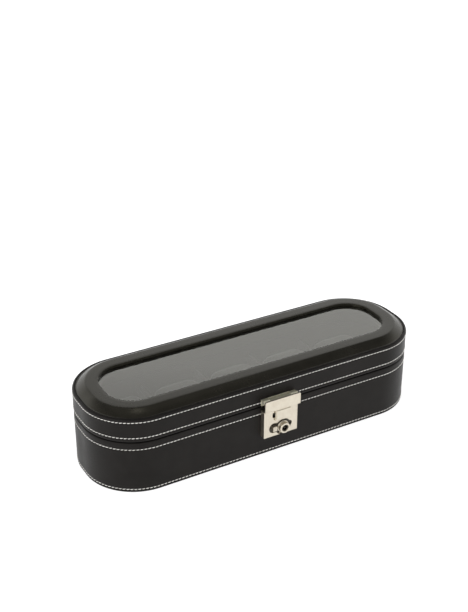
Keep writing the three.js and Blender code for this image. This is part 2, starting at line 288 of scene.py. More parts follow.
leatherFinish = makeCaseLeather("black_case_leather", caseLeather)
frameFinish = makeCaseLeather("satin_frame_leather", topLeather)
nickelFinish = makeNickel("warm_nickel_plate", nickelLook)
steelFinish = makeNickel("plain_steel", dict(nickelLook, plate=(0.56, 0.55, 0.52), worn=(0.42, 0.41, 0.39)))
# painted highlight: a lighter copy of the nickel for the hasp's roll and the wall leaf, standing in for the
# bright sky they reflect
highlightNickelFinish = makeNickel("matt_nickel_lightened_as_painted_highlight", dict(nickelLook, plate=(0.88, 0.86, 0.70), worn=(0.74, 0.70, 0.55),
                                            roughness=(0.5, 0.62)))
threadFinish = makeThread("cream_thread", threadLook)
liningFinish = makeSuede("black_suede_lining", (0.010, 0.009, 0.008), (0.022, 0.020, 0.018))
cushionFinish = makeSuede("dark_suede_cushion", (0.022, 0.019, 0.017), (0.046, 0.041, 0.036), sheen=0.4)
# painted shade: near-black steel for the latch plate and the key plug, standing in for the shade in the
# recess behind the lock's windows and in the keyhole
paintedShadeSteel = makeNickel("steel_darkened_for_painted_shade", dict(nickelLook, plate=(0.085, 0.078, 0.066),
                                                worn=(0.04, 0.036, 0.03)))
feltFinish = makeSuede("black_felt_sole", (0.008, 0.008, 0.008), (0.018, 0.017, 0.017), 0.7 * mm)
glassFinish = makeGlass("flat_glass", glassLook)
boardFinish = makeBoard("fibreboard", boardLook)
print("finishes made")


# mesh helpers

def addPiece(name, mesh, material, body, replaced=()):
    piece = bpy.data.objects.new(name, mesh)
    bpy.context.scene.collection.objects.link(piece)
    mesh.materials.clear()
    mesh.materials.append(material)
    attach(piece, body)
    if replaced:
        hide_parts(*replaced)
    return piece


def meshFrom(name, points, faces, sharpAngle=35):
    mesh = bpy.data.meshes.new(name)
    mesh.from_pydata([tuple(p) for p in points], [], faces)
    mesh.validate()
    work = bmesh.new()
    work.from_mesh(mesh)
    bmesh.ops.recalc_face_normals(work, faces=work.faces)
    work.to_mesh(mesh)
    work.free()
    mesh.shade_smooth()
    mesh.set_sharp_from_angle(angle=math.radians(sharpAngle))
    return mesh


# the case's outline: (core point, outward normal, distance along the outline) for each step round it
def walkOutline(sideStep, cornerSteps, radius):
    coreX = case["halfLength"] - case["cornerRadius"]
    coreY = case["halfWidth"] - case["cornerRadius"]
    corners = [(coreX, -coreY, -90), (coreX, coreY, 0), (-coreX, coreY, 90), (-coreX, -coreY, 180)]
    steps = []
    along = 0.0
    last = None
    for index, (x, y, startAngle) in enumerate(corners):
        for k in range(cornerSteps + 1):
            angle = math.radians(startAngle + 90 * k / cornerSteps)
            normal = Vector((math.cos(angle), math.sin(angle)))
            core = Vector((x, y))
            place = core + normal * radius
            if last is not None:
                along += (place - last).length
            steps.append((core, normal, along))
            last = place
        nextX, nextY, _ = corners[(index + 1) % 4]
        gap = Vector((nextX - x, nextY - y))
        count = max(1, round(gap.length / sideStep))
        for k in range(1, count):
            core = Vector((x, y)) + gap * k / count
            place = core + normal * radius
            along += (place - last).length
            steps.append((core, normal, along))
            last = place
    return steps


outlineSteps = walkOutline(case["sideStep"], case["cornerSteps"], case["cornerRadius"])


def outlinePoint(step, inset, z):
    core, normal, _ = step
    place = core + normal * (case["cornerRadius"] - inset)
    return Vector((place.x, place.y, z))


waveLook = {"broad": 38, "fine": 120, "fineShare": 0.35}   # slow waves in stretched leather, to the metre


# a closed ring with the same section all round; the section is a closed list of (inset, z)
def loftRing(name, section, waves=0.0):
    points = []
    for step in outlineSteps:
        for inset, z in section:
            point = outlinePoint(step, inset, z)
            if waves:
                lift = noise.noise(point * waveLook["broad"]) * waves
                lift += noise.noise(point * waveLook["fine"]) * waves * waveLook["fineShare"]
                point += Vector((step[1].x, step[1].y, 0)) * lift
            points.append(point)
    n = len(section)
    count = len(outlineSteps)
    faces = []
    for i in range(count):
        j = (i + 1) % count
        for k in range(n):
            m = (k + 1) % n
            faces.append((i * n + k, j * n + k, j * n + m, i * n + m))
    return meshFrom(name, points, faces)


# a flat sheet of the case's outline with round edges
def loftSheet(name, inset, low, high, edge):
    section = []
    for k in range(5):
        angle = math.radians(-90 + 180 * k / 4)
        middle = (low + high) / 2
        section.append((inset + edge - edge * math.cos(angle), middle + (high - low) / 2 * math.sin(angle)))
    n = len(section)
    points = [outlinePoint(step, i, z) for step in outlineSteps for i, z in section]
    count = len(outlineSteps)
    faces = []
    for i in range(count):
        j = (i + 1) % count
        for k in range(n - 1):
            faces.append((i * n + k, j * n + k, j * n + k + 1, i * n + k + 1))
    faces.append(tuple(i * n for i in reversed(range(count))))
    faces.append(tuple(i * n + n - 1 for i in range(count)))
    return meshFrom(name, points, faces)


# points on an arc from one angle to another, in degrees
def arcPoints(centre, radius, start, end, count):
    found = []
    for k in range(count + 1):
        angle = math.radians(start + (end - start) * k / count)
        found.append((centre[0] + radius * math.cos(angle), centre[1] + radius * math.sin(angle)))
    return found


# leather covers

cover = {
    "turn": 1.3 * mm,          # roundness where the leather turns over an edge
    "baseInner": 7.65 * mm,    # how far it reaches in over the base's wall
    "lidInner": 8.45 * mm,     # and under the lid's wall
    "foot": 0.25 * mm,         # lowest point of the base's leather, beside the felt sole
    "heel": 0.6 * mm,          # and its roundness there
    "skin": 1.2 * mm,
    "overTop": 0.2 * mm,       # thickness turned over the wall's edge
    "seamDip": 0.28 * mm,      # how deep a stitch row pulls the leather in
    "seamWidth": 1.3 * mm,
    "waves": 0.07 * mm,
    "lidRound": 2.0 * mm,      # the lid's upper edge
    "grooveInner": 2.95 * mm,  # where the groove between the band and the top frame ends
    "grooveFloor": 1.5 * mm,   # its depth below the band's edge
    "grooveCorner": 0.2 * mm,
    "grooveTail": 0.6 * mm,    # how far the leather goes on down inside it
    "lipRound": 0.45 * mm,     # the groove's outer lip
    "flatFrom": 3.5 * mm,      # where the turned-over leather lies flat
    "turnIn": 1.5 * mm,        # how far its inner end reaches along the wall
    "baseBack": 0.9 * mm, "lidBack": (0.8 * mm, 1.6 * mm),   # where the leather's back starts and ends
    "rowStep": 3 * mm, "rowGap": 0.15 * mm,                  # spacing of points up the wall, and its least
    "seamSteps": (-1, -0.6, -0.3, 0, 0.3, 0.6, 1),
    "seamSharpness": 4,
}

stitch = {
    "pitch": 3.48 * mm, "length": 2.75 * mm, "radius": 0.36 * mm, "lift": 0.26 * mm,
    "slant": 0.18 * mm, "sides": 8, "rings": 8,
    "shift": 0.08, "slants": (0.6, 1.3), "sizes": (0.93, 1.07),   # how uneven the sewing is
    "dive": 0.34 * mm, "bed": 0.1 * mm,      # how deep its ends go, and how deep it lies
    "flat": 0.8, "taper": 0.5, "twist": 1.6,
    "walkStep": 1.5 * mm, "walkCorner": 40,  # how finely the row follows the outline
}

seamRows = {
    "base_bottom": 3.4 * mm, "base_top": 45.2 * mm,
    "lid_bottom": 57.1 * mm, "lid_top": 72.8 * mm,
}


def wallHeights(low, high, seams):
    heights = set()
    count = max(2, round((high - low) / cover["rowStep"]))
    for k in range(count + 1):
        heights.add(round(low + (high - low) * k / count, 6))
    for z in seams:
        for step in cover["seamSteps"]:
            heights.add(round(z + step * cover["seamWidth"], 6))
    kept = []
    for z in sorted(heights):
        if low - 1e-7 <= z <= high + 1e-7 and (not kept or z - kept[-1] > cover["rowGap"]):
            kept.append(z)
    return kept


def seamInset(z, seams):
    dip = 0.0
    for seam in seams:
        near = (z - seam) / cover["seamWidth"]
        dip += cover["seamDip"] * math.exp(-cover["seamSharpness"] * near * near)
    return dip


def makeBaseCover():
    low, high = cover["foot"], baseHigh.z
    turn, heel = cover["turn"], cover["heel"]
    seams = [seamRows["base_bottom"], seamRows["base_top"]]
    top = high + cover["overTop"]
    inner = cover["baseInner"]
    section = [(cover["skin"] - 0.2 * mm, low)]
    section += arcPoints((heel, low + heel), heel, 252, 205, 3)
    section += [(seamInset(z, seams), z) for z in wallHeights(low + heel, top - turn, seams)]
    section += arcPoints((turn, top - turn), turn, 158, 90, 4)
    section += [(cover["flatFrom"], top), (inner, top), (inner, top - cover["turnIn"]),
                (cover["skin"], top - cover["baseBack"])]
    mesh = loftRing("base_cover_leather", section, cover["waves"])
    addPiece("base_cover_leather", mesh, leatherFinish, "base", ["base_leather"])


def makeLidCover():
    low, high = lidLow.z, lidHigh.z
    turn = cover["turn"]
    seams = [seamRows["lid_bottom"], seamRows["lid_top"]]
    under = low - cover["overTop"]
    inner, end = cover["lidInner"], cover["grooveInner"]
    rim, lip = cover["lidRound"], cover["lipRound"]
    floor = high - cover["grooveFloor"]
    back = cover["skin"] + 0.05 * mm      # clear of the board behind it
    backTop, backFoot = cover["lidBack"]
    section = [(inner, under + cover["turnIn"]), (inner, under), (cover["flatFrom"], under)]
    section += arcPoints((turn, under + turn), turn, 270, 202, 4)
    section += [(seamInset(z, seams), z) for z in wallHeights(under + turn, high - rim, seams)]
    section += arcPoints((rim, high - rim), rim, 168, 92, 6)
    section += arcPoints((rim, high - lip), lip, 70, 0, 3)
    section += [(rim + lip, floor + cover["grooveCorner"]), (end, floor), (end, floor - cover["grooveTail"])]
    section += [(back, floor - backTop), (back, under + backFoot)]
    mesh = loftRing("lid_cover_leather", section, cover["waves"])
    addPiece("lid_cover_leather", mesh, leatherFinish, "lid", ["lid_leather"])


# one thread stitch after another all round, each a slightly slanted arch with its ends in the leather
def makeStitchRow(name, z, body):
    steps = walkOutline(stitch["walkStep"], stitch["walkCorner"], case["cornerRadius"])
    total = steps[-1][2] + stitch["walkStep"]
    count = round(total / stitch["pitch"])
    pitch = total / count
    points, faces = [], []
    index = 0

    def placeAt(along):
        nonlocal index
        along = along % total
        if along < steps[index][2]:
            index = 0
        while index + 1 < len(steps) and steps[index + 1][2] <= along:
            index += 1
        here = steps[index]
        after = steps[(index + 1) % len(steps)]
        end = after[2] if after[2] > here[2] else total
        share = (along - here[2]) / max(end - here[2], 1e-9)
        core = here[0].lerp(after[0], share)
        normal = here[1].lerp(after[1], share).normalized()
        return core, normal

    sides, rings = stitch["sides"], stitch["rings"]
    for n in range(count):
        middle = (n + 0.5) * pitch + random.uniform(-stitch["shift"], stitch["shift"]) * mm
        slant = stitch["slant"] * random.uniform(*stitch["slants"])
        size = stitch["radius"] * random.uniform(*stitch["sizes"])
        first = len(points)
        for k in range(rings + 1):
            t = -1 + 2 * k / rings
            core, normal = placeAt(middle + t * stitch["length"] / 2)
            lift = stitch["lift"] * (1 - t ** 4) - stitch["dive"] * t ** 6 - stitch["bed"]
            core3 = Vector((*core, 0)) + Vector((*normal, 0)) * (case["cornerRadius"] + lift)
            core3.z = z + slant * t
            across = Vector((0, 0, 1))
            outward = Vector((*normal, 0)) * stitch["flat"]
            radius = size * (1 - stitch["taper"] * abs(t) ** 5)
            for s in range(sides):
                angle = 2 * math.pi * s / sides + t * stitch["twist"]
                points.append(core3 + (across * math.sin(angle) + outward * math.cos(angle)) * radius)
        for k in range(rings):
            for s in range(sides):
                a = first + k * sides + s
                b = first + k * sides + (s + 1) % sides
                faces.append((a, b, b + sides, a + sides))
        faces.append(tuple(first + s for s in reversed(range(sides))))
        faces.append(tuple(first + rings * sides + s for s in range(sides)))
    mesh = meshFrom(name, points, faces, 80)
    addPiece(name, mesh, threadFinish, body)


makeBaseCover()
makeLidCover()
for rowName, height in seamRows.items():
    makeStitchRow(f"stitches_{rowName}", height, rowName.split("_")[0])
print("leather covers and stitch rows made")


# top frame

topFrame = {
    "foot": 2.9,          # all in millimetres from the case's outer wall, or upwards
    "footHeight": 1.35,
    "lip": 0.95,          # flat width at the foot of the slope
    "edge": [(12.6, 0.0), (12.1, 0.03), (11.6, 0.12), (11.1, 0.3), (10.7, 0.52)],   # inset, drop
    "crown": 0.3,         # how much the slope bulges
    "opening": 23.4,
    "rebate": 20.6,
    "soft": 0.25,         # roundness of the opening's edge
    "bead": 0.3,          # small bevel where the opening meets the glass
    "flat": (20.0, 16.0), # points across the flat
    "slopeSteps": 9, "footSoft": 0.2, "glassGap": 0.05,
}


def makeTopFrame():
    shelf = frameLow.z
    foot, rise = topFrame["foot"], topFrame["footHeight"]
    inset, soft = topFrame["opening"], topFrame["soft"]
    top = (frameHigh.z - shelf) / mm
    glassTop = (glassHigh.z - shelf) / mm + topFrame["glassGap"]
    bead, footSoft = topFrame["bead"], topFrame["footSoft"]
    section = [(topFrame["rebate"], 0.0), (topFrame["rebate"], glassTop), (inset - bead, glassTop),
               (inset, glassTop + bead)]
    section += arcPoints((inset - soft, top - soft), soft, 0, 90, 4)
    section += [(place, top) for place in topFrame["flat"]]
    section += [(place, top - drop) for place, drop in topFrame["edge"]]
    startInset, startHeight = section[-1]
    for k in range(1, topFrame["slopeSteps"]):
        share = k / topFrame["slopeSteps"]
        bulge = topFrame["crown"] * math.sin(math.pi * share)
        section.append((startInset + (foot + topFrame["lip"] - startInset) * share,
                        startHeight + (rise - startHeight) * share + bulge))
    section += [(foot + topFrame["lip"], rise), (foot + footSoft, rise), (foot, rise - footSoft),
                (foot, 0.0)]
    mesh = loftRing("top_frame_leather", [(i * mm, shelf + h * mm) for i, h in section])
    addPiece("top_frame_leather", mesh, frameFinish, "lid", ["top_frame"])


makeTopFrame()


# linings, sole and glass

# each wall lining: the node, its body, insets of its outer and inner side, roundness, gap above; millimetres
wallLinings = {
    "base_wall_suede": ("base_lining", "base", 7.2, 8.2, 0.3, 0),
    "lid_wall_suede": ("lid_lining", "lid", 8.0, 9.0, 0.3, 0),
    "glass_retainer_suede": ("glass_retainer", "lid", 8.0, 24.8, 0.9, 0.02),
}

# each flat sheet: the node, its finish, inset, and roundness of the edge; millimetres
flatSheets = {
    "floor_suede": ("floor_lining", liningFinish, 7.25, 0.3),
    "sole_felt": ("sole_sheet", feltFinish, 1.0, 0.4),
}


def ringSection(outer, inner, low, high, soft):
    return [(outer, low), (outer, high), (inner - soft, high), (inner - soft * 0.3, high - soft * 0.3),
            (inner, high - soft), (inner, low + soft), (inner - soft * 0.3, low + soft * 0.3),
            (inner - soft, low)]


def makeLinings():
    for name, (node, body, outer, inner, soft, gap) in wallLinings.items():
        low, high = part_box(node)
        section = ringSection(outer * mm, inner * mm, low.z, high.z - gap * mm, soft * mm)
        addPiece(name, loftRing(name, section), liningFinish, body, [node])
    for name, (node, finish, inset, edge) in flatSheets.items():
        low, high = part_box(node)
        sheet = loftSheet(name, inset * mm, low.z, high.z, edge * mm)
        addPiece(name, sheet, finish, "base", [node])


makeLinings()


def dress(node, material):
    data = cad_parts[node].data
    data.materials.clear()
    data.materials.append(material)


dress("glass_pane", glassFinish)
for node in ("base_wall", "lid_wall", "bottom_board"):
    dress(node, boardFinish)
print("frame, linings and glass made")


# dividers

divider = {"soft": 1.5 * mm, "steps": 5}


def makeDivider(number):
    low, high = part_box(f"divider_{number}")
    work = bmesh.new()
    bmesh.ops.create_cube(work, size=1)
    size = high - low
    middle = (high + low) / 2
    for vert in work.verts:
        vert.co = Vector(a * b for a, b in zip(vert.co, size)) + middle
    bmesh.ops.subdivide_edges(work, edges=work.edges[:], cuts=1, use_grid_fill=True)
    edges = [e for e in work.edges
             if all(v.co.z > high.z - 1e-6 for v in e.verts)
             and all(abs(abs(v.co.x - middle.x) - size.x / 2) < 1e-6 for v in e.verts)]
    bmesh.ops.bevel(work, geom=edges, offset=divider["soft"], segments=divider["steps"],
                    affect="EDGES", profile=0.5)
    mesh = bpy.data.meshes.new(f"divider_suede_{number}")
    work.to_mesh(mesh)
    work.free()
    mesh.shade_smooth()
    mesh.set_sharp_from_angle(angle=math.radians(40))
    addPiece(f"divider_suede_{number}", mesh, liningFinish, "base", [f"divider_{number}"])


for number in range(1, 5):
    makeDivider(number)


# cushions

pillow = {
    "start": (45 * mm, 72 * mm, 33 * mm),    # before it swells
    "round": 9 * mm, "voxel": 4 * mm, "pressure": 4.0, "cap": 5.5 * mm, "frames": 20,
    "shrink": 0.985, "dent": 0.5 * mm, "dentScale": 60, "foot": 0.4 * mm,
}


def roundedBlock(size, radius):
    work = bmesh.new()
    bmesh.ops.create_cube(work, size=1)
    for vert in work.verts:
        vert.co = Vector(a * b for a, b in zip(vert.co, size))
    bmesh.ops.bevel(work, geom=work.edges[:], offset=radius, segments=4, affect="EDGES", profile=0.5)
    mesh = bpy.data.meshes.new("pillow")
    work.to_mesh(mesh)
    work.free()
    return mesh


def swell(mesh):
    piece = bpy.data.objects.new("pillow_draft", mesh)
    bpy.context.scene.collection.objects.link(piece)
    remesh = piece.modifiers.new("remesh", "REMESH")
    remesh.mode = "VOXEL"
    remesh.voxel_size = pillow["voxel"]
    bpy.context.view_layer.update()
    graph = bpy.context.evaluated_depsgraph_get()
    even = bpy.data.meshes.new_from_object(piece.evaluated_get(graph))
    piece.modifiers.clear()
    piece.data = even
    start = [v.co.copy() for v in even.vertices]
    cloth = piece.modifiers.new("cloth", "CLOTH")
    cloth.settings.use_pressure = True
    cloth.settings.uniform_pressure_force = pillow["pressure"]
    cloth.settings.effector_weights.gravity = 0
    cloth.settings.quality = 5
    cloth.point_cache.frame_start = 1
    cloth.point_cache.frame_end = pillow["frames"]
    scene = bpy.context.scene
    for n in range(1, pillow["frames"] + 1):
        scene.frame_set(n)
    graph = bpy.context.evaluated_depsgraph_get()
    swollen = piece.evaluated_get(graph).to_mesh()
    ends = [v.co.copy() for v in swollen.vertices]
    piece.evaluated_get(graph).to_mesh_clear()
    piece.modifiers.clear()
    scene.frame_set(1)
    for vert, before, after in zip(even.vertices, start, ends):
        move = after - before
        if move.length > pillow["cap"]:
            move *= pillow["cap"] / move.length
        vert.co = before + move
    bpy.data.objects.remove(piece)
    return even


def makeCushions():
    draft = swell(roundedBlock(pillow["start"], pillow["round"]))
    xs = [v.co.x for v in draft.vertices]
    ys = [v.co.y for v in draft.vertices]
    zs = [v.co.z for v in draft.vertices]
    spread = Vector((max(xs) - min(xs), max(ys) - min(ys), max(zs) - min(zs)))
    print("cushion swelled to", [round(v / mm, 1) for v in spread], "mm")
    for number in range(1, 6):
        low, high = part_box(f"cushion_{number}")
        size = (high - low) * pillow["shrink"]
        middle = (high + low) / 2
        work = bmesh.new()
        work.from_mesh(draft)
        for vert in work.verts:
            vert.co = Vector(c * s / d for c, s, d in zip(vert.co, size, spread))
            dent = noise.noise(vert.co * pillow["dentScale"] + Vector((number * 3.1, 0, 0))) * pillow["dent"]
            vert.co -= vert.co.normalized() * abs(dent)
            if vert.co.z < 0:
                vert.co.z = max(vert.co.z, -size.z / 2 + pillow["foot"])
            vert.co += middle
        mesh = bpy.data.meshes.new(f"watch_cushion_{number}")
        work.to_mesh(mesh)
        work.free()
        mesh.shade_smooth()
        piece = addPiece(f"watch_cushion_{number}", mesh, cushionFinish, f"cushion_{number}",
                         [f"cushion_{number}"])
        fine = piece.modifiers.new("fine", "SUBSURF")
        fine.levels = 1
        fine.render_levels = 1


makeCushions()
print("dividers and cushions made")


# metal helpers

def prismMesh(points, front, back):
    n = len(points)
    corners = [(x * mm, front, z * mm) for x, z in points] + [(x * mm, back, z * mm) for x, z in points]
    faces = [tuple(range(n)), tuple(reversed(range(n, 2 * n)))]
    faces += [(k, k + n, (k + 1) % n + n, (k + 1) % n) for k in range(n)]
    return meshFrom("draft", corners, faces)


def blockMesh(x0, x1, y0, y1, z0, z1):
    return prismMesh([(x0, z0), (x1, z0), (x1, z1), (x0, z1)], y0 * mm, y1 * mm)


# a turned shape: the profile is a list of (radius, distance along the axis) in millimetres
def turnedMesh(profile, centre, axis, sides=32):
    points, faces = [], []
    rings = []
    for radius, along in profile:
        if radius < 1e-6:
            rings.append([len(points)])
            points.append((0, 0, along))
        else:
            rings.append(list(range(len(points), len(points) + sides)))
            turns = [2 * math.pi * k / sides for k in range(sides)]
            points += [(radius * math.cos(turn), radius * math.sin(turn), along) for turn in turns]
    for one, two in zip(rings, rings[1:]):
        for k in range(sides):
            m = (k + 1) % sides
            if len(one) == 1 and len(two) > 1:
                faces.append((one[0], two[m], two[k]))
            elif len(two) == 1 and len(one) > 1:
                faces.append((one[k], one[m], two[0]))
            elif len(one) > 1:
                faces.append((one[k], one[m], two[m], two[k]))
    if len(rings[0]) > 1 and len(rings[-1]) > 1:
        one, two = rings[-1], rings[0]
        faces += [(one[k], one[(k + 1) % sides], two[(k + 1) % sides], two[k]) for k in range(sides)]
    spin = Vector((0, 0, 1)).rotation_difference(Vector(axis)).to_matrix()
    placed = [(spin @ Vector(p) + Vector(centre)) * mm for p in points]
    return meshFrom("draft", placed, faces, 30)


def joinMeshes(name, meshes):
    work = bmesh.new()
    for mesh in meshes:
        work.from_mesh(mesh)
    joined = bpy.data.meshes.new(name)
    work.to_mesh(joined)
    work.free()
    return joined


# cuts the cutters out of a mesh and rounds its edges
def shapeMetal(name, mesh, cutters=(), edge=0.3, segments=3):
    scene = bpy.context.scene
    drafts = [bpy.data.objects.new("draft", m) for m in (mesh, *cutters)]
    for draft in drafts:
        draft.data.shade_smooth()
        scene.collection.objects.link(draft)
    for tool in drafts[1:]:
        cut = drafts[0].modifiers.new("cut", "BOOLEAN")
        cut.operation = "DIFFERENCE"
        cut.solver = "EXACT"
        cut.object = tool
    bevel = drafts[0].modifiers.new("edge", "BEVEL")
    bevel.width = edge * mm
    bevel.segments = segments
    bevel.limit_method = "ANGLE"
    bevel.angle_limit = math.radians(30)
    bevel.harden_normals = True
    bevel.use_clamp_overlap = False
    bpy.context.view_layer.update()
    graph = bpy.context.evaluated_depsgraph_get()
    shaped = bpy.data.meshes.new_from_object(drafts[0].evaluated_get(graph))
    shaped.name = name
    for draft in drafts:
        bpy.data.objects.remove(draft)
    return shaped


def offsets(node):
    low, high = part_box(node)
    return [v / mm for v in (low.x, high.x, low.y, high.y, low.z, high.z)]


# lock case on the base

lock = {
    "wall": 1.0, "edge": 0.55,
    "barrel": (3.0, 28.5), "barrelGap": 8.0,           # the window round the key barrel
    "thumb": (-6.9, 29.6), "thumbGap": 5.0,            # and round the thumb tab
    "spur": (9.6, 30.2), "spurGap": 2.7,               # and its small lobe on the right
    "hookWindow": (-8.3, 8.0, 41.0, 46.0),
    "hookWay": (-0.6, 2.9, 41.0), "hookWayBack": 1.2,   # slot for the hook, up to the top
    "neckThumb": 4.2, "neckBarrel": (6.0, 6.6),         # what joins the windows
    "over": 1.0,                                        # how far a cut starts outside the metal
}


def circlePoints(centre, radius, count=36):
    return arcPoints(centre, radius, 0, 360 * (count - 1) / count, count - 1)


def makeLockCase():
    left, right, front, back, bottom, top = offsets("lock_case")
    wall = lock["wall"]
    shell = blockMesh(left, right, front, back, bottom, top)
    hollow = blockMesh(left + wall, right - wall, front + wall, back + 2, bottom + wall, top - wall)
    x0, x1, z0, z1 = lock["hookWindow"]
    over = lock["over"]
    reach = (front - over) * mm, (front + wall + over / 2) * mm
    cutters = [hollow, prismMesh([(x0, z0), (x1, z0), (x1, z1), (x0, z1)], *reach)]
    for spot, gap in (("barrel", "barrelGap"), ("thumb", "thumbGap"), ("spur", "spurGap")):
        cutters.append(prismMesh(circlePoints(lock[spot], lock[gap]), *reach))
    tx, tz = lock["thumb"]
    bx, bz = lock["barrel"]
    half, (below, above) = lock["neckThumb"], lock["neckBarrel"]
    neck = [(tx, tz + half), (tx, tz - half), (bx, bz - below), (bx, bz + above)]
    cutters.append(prismMesh(neck, *reach))
    wayLeft, wayRight, wayFoot = lock["hookWay"]
    wayBack = back - lock["hookWayBack"]
    cutters.append(blockMesh(wayLeft, wayRight, front - over, wayBack, wayFoot, top + over))
    mesh = shapeMetal("lock_case_shell", shell, cutters, lock["edge"])
    addPiece("lock_case_shell", mesh, nickelFinish, "base", ["lock_case"])


# slider: plate, key barrel and thumb tab

slider = {
    "plate": (-13.9, 14.0, 23.2, 36.4), "plateFront": -61.0, "plateBack": -59.2,
    "barrelRadius": 5.2, "lip": 0.55, "flange": 5.95, "flangeFront": -62.3,
    "bore": 3.35,
    "thumbHalf": (2.1, 2.4), "thumbFront": -64.6,
    "ridges": 2, "ridgeSpacing": 1.45, "ridgeRadius": 0.42, "ridgeOut": 0.12,
    "finger": (-6.0, -3.4, 44.2), "fingerTip": (0.1, 43.0), "fingerDepth": 1.2,
    "springArm": (-9.4, -8.6, 39.9), "springArmDepth": 1.6,
    "joint": 1.0,                        # how far an arm is sunk in the plate
    "tail": 6.5,                         # length of the barrel
}


def makeSlider():
    front = offsets("latch_slider")[2]
    x0, x1, z0, z1 = slider["plate"]
    face, back = slider["plateFront"], slider["plateBack"]
    armFoot = z1 - slider["joint"]
    fingerLeft, fingerRight, fingerTop = slider["finger"]
    tipRight, tipFoot = slider["fingerTip"]
    armLeft, armRight, armTop = slider["springArm"]
    fingerBack, armBack = back - slider["fingerDepth"], back - slider["springArmDepth"]
    plates = [blockMesh(x0, x1, face, back, z0, z1),
              blockMesh(fingerLeft, fingerRight, fingerBack, back, armFoot, fingerTop),
              blockMesh(fingerLeft, tipRight, fingerBack, back, tipFoot, fingerTop),
              blockMesh(armLeft, armRight, armBack, back, armFoot, armTop)]
    bx, bz = lock["barrel"]
    through = [(0, -40), (slider["bore"], -40), (slider["bore"], 40), (0, 40)]
    bore = turnedMesh(through, (bx, -60, bz), (0, 1, 0))
    mesh = shapeMetal("latch_plate", joinMeshes("draft", plates), [], 0.15, 2)
    mesh = shapeMetal("latch_plate", mesh, [bore], 0.02, 1)
    # the plate behind the windows gets the near-black steel as painted shade of the recess
    addPiece("latch_plate", mesh, paintedShadeSteel, "latch", ["latch_slider"])

    radius, lip, flange = slider["barrelRadius"], slider["lip"], slider["flange"]
    # distances run inwards from the barrel's front face
    profile = [(slider["bore"], slider["tail"]), (slider["bore"], 0.5), (slider["bore"] + 0.2, 0.12),
               (radius - lip - 0.35, 0.0)]
    profile += [(radius - lip + lip * math.sin(a), lip - lip * math.cos(a))
                for a in (math.radians(d) for d in (0, 25, 50, 75, 90))]
    step = slider["flangeFront"] - front
    profile += [(radius, step - 0.3), (radius + 0.12, step - 0.05), (flange - 0.3, step),
                (flange, step + 0.3), (flange, slider["tail"])]
    mesh = turnedMesh(profile, (bx, front, bz), (0, 1, 0), 64)
    addPiece("key_barrel", mesh, nickelFinish, "latch")

    tx, tz = lock["thumb"]
    halfX, halfZ = slider["thumbHalf"]
    tip = slider["thumbFront"]
    tab = blockMesh(tx - halfX, tx + halfX, tip, face + 0.4, tz - halfZ, tz + halfZ)
    grooves = []
    for k in range(slider["ridges"]):
        x = tx + (k - (slider["ridges"] - 1) / 2) * slider["ridgeSpacing"]
        rod = [(0, -5), (slider["ridgeRadius"], -5), (slider["ridgeRadius"], 5), (0, 5)]
        grooves.append(turnedMesh(rod, (x, tip - slider["ridgeOut"], tz), (0, 0, 1), 16))
    mesh = shapeMetal("thumb_tab", tab, grooves, 0.22, 2)
    addPiece("thumb_tab", mesh, nickelFinish, "latch")


plug = {
    "outer": 3.25, "keyway": 2.55, "post": 1.05, "setBack": 1.1, "depth": 5.0, "length": 7.4,
    "notchHalf": 0.55, "notchDepth": 2.4,
    "camHalf": 1.2, "camFront": -58.8, "camBack": -57.5, "camReach": 5.6,
}


def makeKeyPlug():
    bx, bz = lock["barrel"]
    front = offsets("latch_slider")[2] + plug["setBack"]
    outer, keyway, post, depth = plug["outer"], plug["keyway"], plug["post"], plug["depth"]
    profile = [(0, 0.55), (post - 0.15, 0.55), (post, 0.75), (post, depth), (keyway, depth), (keyway, 0.15),
               (keyway + 0.12, 0.0), (outer - 0.15, 0.0), (outer, 0.15), (outer, plug["length"]),
               (0, plug["length"])]
    body = turnedMesh(profile, (bx, front, bz), (0, 1, 0), 48)
    half, camHalf = plug["notchHalf"], plug["camHalf"]
    notch = blockMesh(bx - half, bx + half, front - 1, front + plug["notchDepth"],
                      bz + keyway - 0.4, bz + outer + 0.4)
    mesh = shapeMetal("key_plug_turned", body, [notch], 0.05, 1)
    block = blockMesh(bx - camHalf, bx + camHalf, plug["camFront"], plug["camBack"],
                      bz, bz + plug["camReach"])
    cam = shapeMetal("cam", block, [], 0.25, 2)
    # the key plug deep in the barrel's bore gets the near-black steel as painted shade of the keyhole
    addPiece("key_plug_turned", joinMeshes("key_plug_turned", [mesh, cam]), paintedShadeSteel, "key_plug",
             ["key_plug"])


makeLockCase()
makeSlider()
makeKeyPlug()
print("lock made")


# hasp: bracket and plate

hasp = {
    "edge": 0.32, "thickness": 1.8, "shoulder": 49.5,
    "tongue": (-6.6, 12.0), "boss": (-5.7, 9.4, 39.4, 49.0), "bossHeight": 0.7,
    "notch": (-14.0, -11.2, 0.9),        # its left, right and height, in the shoulder
    "notchSlope": 0.4, "corner": 1.0, "bossEdge": 0.4,
    "roll": 2.1, "pin": (-60.2, 58.9), "pinRadius": 0.9, "armTop": 60.4,
    "knuckles": ((-17.6, -10.7), (-10.3, 10.7), (11.1, 18.4)),
}


def knuckleMesh(x0, x1, centre, radius, bore, soft=0.22):
    y, z = centre
    length = x1 - x0
    profile = [(bore, 0), (radius - soft, 0), (radius - soft * 0.3, soft * 0.3), (radius, soft),
               (radius, length - soft), (radius - soft * 0.3, length - soft * 0.3), (radius - soft, length),
               (bore, length)]
    return turnedMesh(profile, (x0, y, z), (1, 0, 0), 40)


